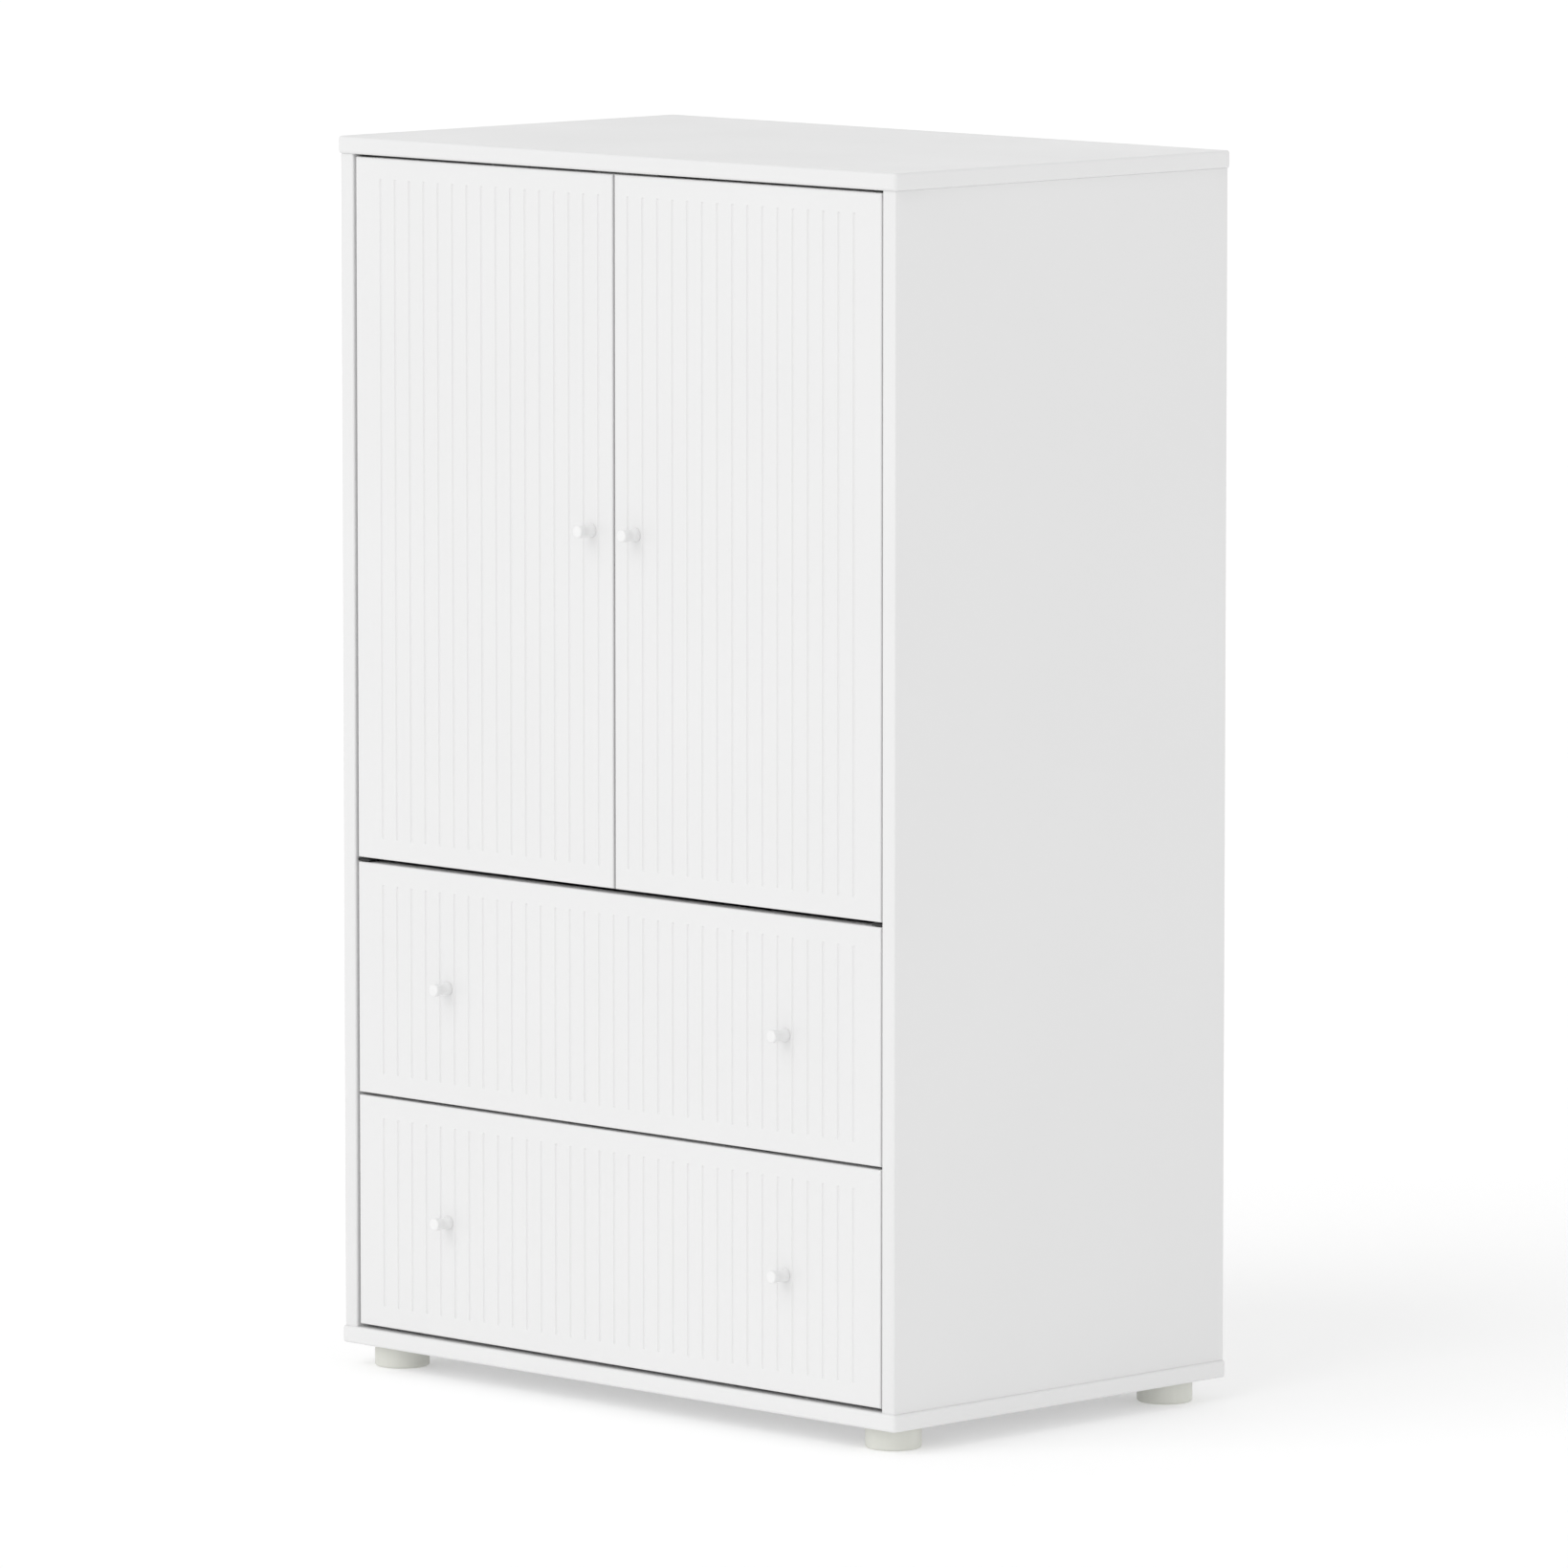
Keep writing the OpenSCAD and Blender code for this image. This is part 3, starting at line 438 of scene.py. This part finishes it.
def apply_modifier(obj, kind, **settings):
    modifier = obj.modifiers.new(kind.lower(), kind)
    for key, value in settings.items():
        setattr(modifier, key, value)
    bpy.context.view_layer.objects.active = obj
    bpy.ops.object.modifier_apply(modifier=modifier.name)


def join(objects, name):
    deselect()
    for obj in objects:
        obj.select_set(True)
    bpy.context.view_layer.objects.active = objects[0]
    if len(objects) > 1:
        bpy.ops.object.join()
    objects[0].name = name
    return objects[0]


def combine(obj, other, operation):
    """Cuts the other shape out of the piece, or keeps what they share, and deletes the other."""
    apply_modifier(obj, "BOOLEAN", operation=operation, object=other, solver="EXACT")
    bpy.data.objects.remove(other)


def clean(obj):
    """Merges the slivers that cutting leaves."""
    deselect()
    obj.select_set(True)
    bpy.context.view_layer.objects.active = obj
    bpy.ops.object.mode_set(mode="EDIT")
    bpy.ops.mesh.select_all(action="SELECT")
    bpy.ops.mesh.remove_doubles(threshold=TINY)
    bpy.ops.mesh.dissolve_degenerate(threshold=TINY)
    bpy.ops.object.mode_set(mode="OBJECT")


def shade(obj, angle=35):
    deselect()
    obj.select_set(True)
    bpy.context.view_layer.objects.active = obj
    bpy.ops.object.shade_smooth_by_angle(angle=math.radians(angle))


def level_normals(obj):
    """Keeps broad faces flat where they meet small eased edges."""
    apply_modifier(obj, "WEIGHTED_NORMAL", keep_sharp=True, weight=100)


def copy_of_node(node):
    """A merged copy of a CAD node, for its holes."""
    deselect()
    obj = frame["nodes"][node].copy()
    obj.data = obj.data.copy()
    obj.parent = None
    bpy.context.scene.collection.objects.link(obj)
    obj.select_set(True)
    bpy.context.view_layer.objects.active = obj
    bpy.ops.object.mode_set(mode="EDIT")
    bpy.ops.mesh.select_all(action="SELECT")
    bpy.ops.mesh.remove_doubles(threshold=WELD_GAP)
    bpy.ops.object.mode_set(mode="OBJECT")
    return obj


def ease_sharp_edges(obj, width):
    apply_modifier(obj, "BEVEL", width=width, segments=2, limit_method="ANGLE",
                   angle_limit=SHARP_ANGLE, harden_normals=False, use_clamp_overlap=True)


def place(obj, node, body, slot):
    """The finished piece rides on a body and stands for a CAD node."""
    paint(obj, MATERIALS[slot])
    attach(obj, body)
    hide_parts(node)


# ---------------------------------------------------------------- doors and drawer fronts


def groove_cutters(xs, low, high):
    """One round-ended cutter, modelled once and copied to every groove's place."""
    lift = GROOVE_RADIUS - GROOVE_DEPTH
    start = (0, low.y - lift, low.z + GROOVE_END)
    length = high.z - low.z - 2 * GROOVE_END
    cutter = add_rod("groove_cutter", start, "Z", GROOVE_RADIUS, length, GROOVE_SIDES)
    ends = (low.z + GROOVE_END, high.z - GROOVE_END)
    bevel_edges(cutter, lambda p: min(abs(p.z - z) for z in ends) < TINY, GROOVE_END_ROUND, 7)
    copies = []
    for x in xs:
        copy = cutter.copy()
        copy.data = cutter.data.copy()
        bpy.context.scene.collection.objects.link(copy)
        copy.location.x = x
        copies.append(copy)
    bpy.data.objects.remove(cutter)
    row = join(copies, "groove_row")
    bpy.ops.object.transform_apply(location=True, rotation=True, scale=True)
    return row


def grooved_front(name, node, xs, extra_cutters=()):
    """A board with eased front edges and a row of upright grooves with softened lips."""
    low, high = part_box(node)
    board = add_box(name, low, high)
    bevel_edges(board, lambda p: p.y < low.y + TINY, FRONT_EASE, 5)
    for cutter in [groove_cutters(xs, low, high), *extra_cutters]:
        combine(board, cutter, "DIFFERENCE")
    clean(board)
    ease_sharp_edges(board, GROOVE_LIP)
    clean(board)
    shade(board)
    level_normals(board)
    return board


def bush_cutters(side):
    """Bores for the two bushes in a door's ends."""
    low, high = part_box(f"{side}_door_bushes")
    panel_low, panel_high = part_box(f"{side}_door_panel")
    x, y = (low.x + high.x) / 2, (low.y + high.y) / 2
    for start in (panel_low.z - BORE_OVERRUN, panel_high.z - BUSH_LENGTH):
        yield add_rod("bush_bore", (x, y, start), "Z", BUSH_RADIUS, BUSH_LENGTH + BORE_OVERRUN)


def make_doors():
    """Each door's grooves are counted from the middle of the wardrobe."""
    for side, sign in (("left", -1), ("right", 1)):
        xs = [sign * (i + 1) * GROOVE_PITCH for i in range(GROOVES_PER_DOOR)]
        node = f"{side}_door_panel"
        door = grooved_front(f"{side}_door_board", node, xs, list(bush_cutters(side)))
        place(door, node, f"{side}_door", "front_lacquer")


def make_drawer_fronts():
    """The drawers' grooves are in line with the doors', with one more in the middle."""
    xs = [i * GROOVE_PITCH for i in range(-GROOVES_PER_DOOR, GROOVES_PER_DOOR + 1)]
    for level in ("upper", "lower"):
        node = f"{level}_drawer_front"
        place(grooved_front(f"{level}_drawer_board", node, xs), node, f"{level}_drawer", "front_lacquer")


# ---------------------------------------------------------------- top and bottom panels


def make_capping_panels():
    """The top and bottom panels, softly rounded all round but at the rear, with their fittings' holes."""
    for name in ("top", "bottom"):
        node = f"{name}_panel"
        low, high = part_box(node)
        panel = add_box(f"{name}_board", low, high)
        # The two upright corners at the front, then the upper and the lower edges
        bevel_edges(panel, lambda p: p.y < low.y + TINY and low.z + TINY < p.z < high.z - TINY,
                    PANEL_CORNER, 8)
        for z in (low.z, high.z):
            bevel_edges(panel, lambda p: abs(p.z - z) < TINY and p.y < high.y - TINY, PANEL_EASE, 6)
        combine(panel, copy_of_node(node), "INTERSECT")
        clean(panel)
        shade(panel)
        level_normals(panel)
        place(panel, node, "carcass", "carcass_lacquer")


# ---------------------------------------------------------------- turned pieces


def arc_rings(radius, height, ease, start, end, steps):
    """Rings along a rounded corner: its centre in radius and height, its size, and two angles."""
    for i in range(steps + 1):
        angle = math.radians(start + (end - start) * i / steps)
        yield radius + ease * math.cos(angle), height + ease * math.sin(angle)


def add_turned(name, rings, centre, axis):
    """A turned solid: a disc, extruded and scaled from ring to ring along its axis."""
    deselect()
    axis = Vector(axis)
    turn = Vector((0, 0, 1)).rotation_difference(axis).to_euler()
    radius, height = rings[0]
    bpy.ops.mesh.primitive_circle_add(
        vertices=TURNED_SIDES, radius=radius, fill_type="NGON",
        location=Vector(centre) + axis * height, rotation=turn)
    obj = bpy.context.object
    obj.name = name
    bpy.ops.object.transform_apply(location=True, rotation=True, scale=True)
    bpy.ops.object.mode_set(mode="EDIT")
    bpy.ops.mesh.select_all(action="SELECT")
    for next_radius, next_height in rings[1:]:
        bpy.ops.mesh.extrude_region_move(
            TRANSFORM_OT_translate={"value": axis * (next_height - height)})
        ratio = next_radius / radius
        bpy.ops.transform.resize(
            value=(ratio, ratio, ratio), center_override=Vector(centre) + axis * next_height)
        radius, height = next_radius, next_height
    bpy.ops.mesh.select_all(action="SELECT")
    bpy.ops.mesh.normals_make_consistent(inside=False)
    bpy.ops.object.mode_set(mode="OBJECT")
    shade(obj, 30)
    return obj


def sweep(start, end, steps):
    """Rings of a smooth turned sweep from one radius and height to another."""
    for i in range(steps + 1):
        t = i / steps
        yield (start[0] + (end[0] - start[0]) * (1 - math.cos(math.pi * t)) / 2,
               start[1] + (end[1] - start[1]) * t)


def knob_rings(length, foot, waist, face):
    """From the foot on the board: a thin collar, a slim waist, and a head with a rounded face."""
    chamfer = 0.3 * MM
    collar = 1.5 * MM
    waist_end = length * 0.45
    waist_length = 0.5 * MM
    head = 2.5 * MM
    rings = [(foot - chamfer, 0.0), (foot, chamfer)]
    rings += list(sweep((foot, collar), (waist, waist_end), 12))
    rings += list(sweep((waist, waist_end + waist_length), (face, length - KNOB_EASE - head), 12))
    rings += list(arc_rings(face - KNOB_EASE, length - KNOB_EASE, KNOB_EASE, 0, 90, 8))
    rings.append((face * 0.3, length))
    return rings


def make_knobs():
    """One knob on each door and two on each drawer front."""
    for body in ("left_door", "right_door", "upper_drawer", "lower_drawer"):
        names = [f"{body}_knob"] if body.endswith("door") else [f"{body}_left_knob", f"{body}_right_knob"]
        for node in names:
            low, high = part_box(node)
            foot = (high.x - low.x) / 2
            centre = ((low.x + high.x) / 2, high.y, (low.z + high.z) / 2)
            rings = knob_rings(high.y - low.y, foot, KNOB_WAIST, KNOB_FACE)
            knob = add_turned(f"{node}_turned", rings, centre, (0, -1, 0))
            place(knob, node, body, "knob_lacquer")


def make_feet():
    """Short round feet, each with a bore from below for its screw."""
    for end in ("front", "rear"):
        for side in ("left", "right"):
            node = f"{end}_{side}_foot"
            low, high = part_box(node)
            radius = (high.x - low.x) / 2
            height = high.z - low.z
            rings = [(FOOT_BORE, FOOT_BORE_DEPTH), (FOOT_BORE, FOOT_BORE_LIP)]
            rings.append((FOOT_BORE + FOOT_BORE_LIP, 0.0))
            rings += list(arc_rings(radius - FOOT_EASE, FOOT_EASE, FOOT_EASE, 270, 360, 8))
            rings += list(arc_rings(radius - FOOT_TOP_EASE, height - FOOT_TOP_EASE, FOOT_TOP_EASE, 0, 90, 4))
            rings.append((radius * 0.5, height))
            centre = ((low.x + high.x) / 2, (low.y + high.y) / 2, low.z)
            foot = add_turned(f"{node}_turned", rings, centre, (0, 0, 1))
            place(foot, node, "carcass", "foot_lacquer")


# ---------------------------------------------------------------- CAD nodes that stay


def finish_cad_nodes():
    """Every CAD node gets its slot's material; its facets are joined and its sharp edges eased."""
    slots = {row["node"]: row["material_slot"] for row in frame["record"]["subparts"]}
    for name, obj in frame["nodes"].items():
        paint(obj, MATERIALS[slots[name]])
        for polygon in obj.data.polygons:
            polygon.use_smooth = True
        weld = obj.modifiers.new("weld", "WELD")
        weld.merge_threshold = WELD_GAP
        flat = obj.modifiers.new("flat", "DECIMATE")
        flat.decimate_type = "DISSOLVE"
        flat.angle_limit = FLAT_ANGLE
        ease = obj.modifiers.new("ease", "BEVEL")
        ease.width = BOARD_EASE if name.endswith(BOARD_ENDINGS) else FITTING_EASE
        ease.segments = 2
        ease.limit_method = "ANGLE"
        ease.angle_limit = SHARP_ANGLE
        ease.harden_normals = True


MATERIALS = make_materials()
bpy.context.scene.view_settings.view_transform = "Standard"
set_up_camera()
set_up_light()
set_up_floor()
make_capping_panels()
make_doors()
make_drawer_fronts()
make_knobs()
make_feet()
finish_cad_nodes()
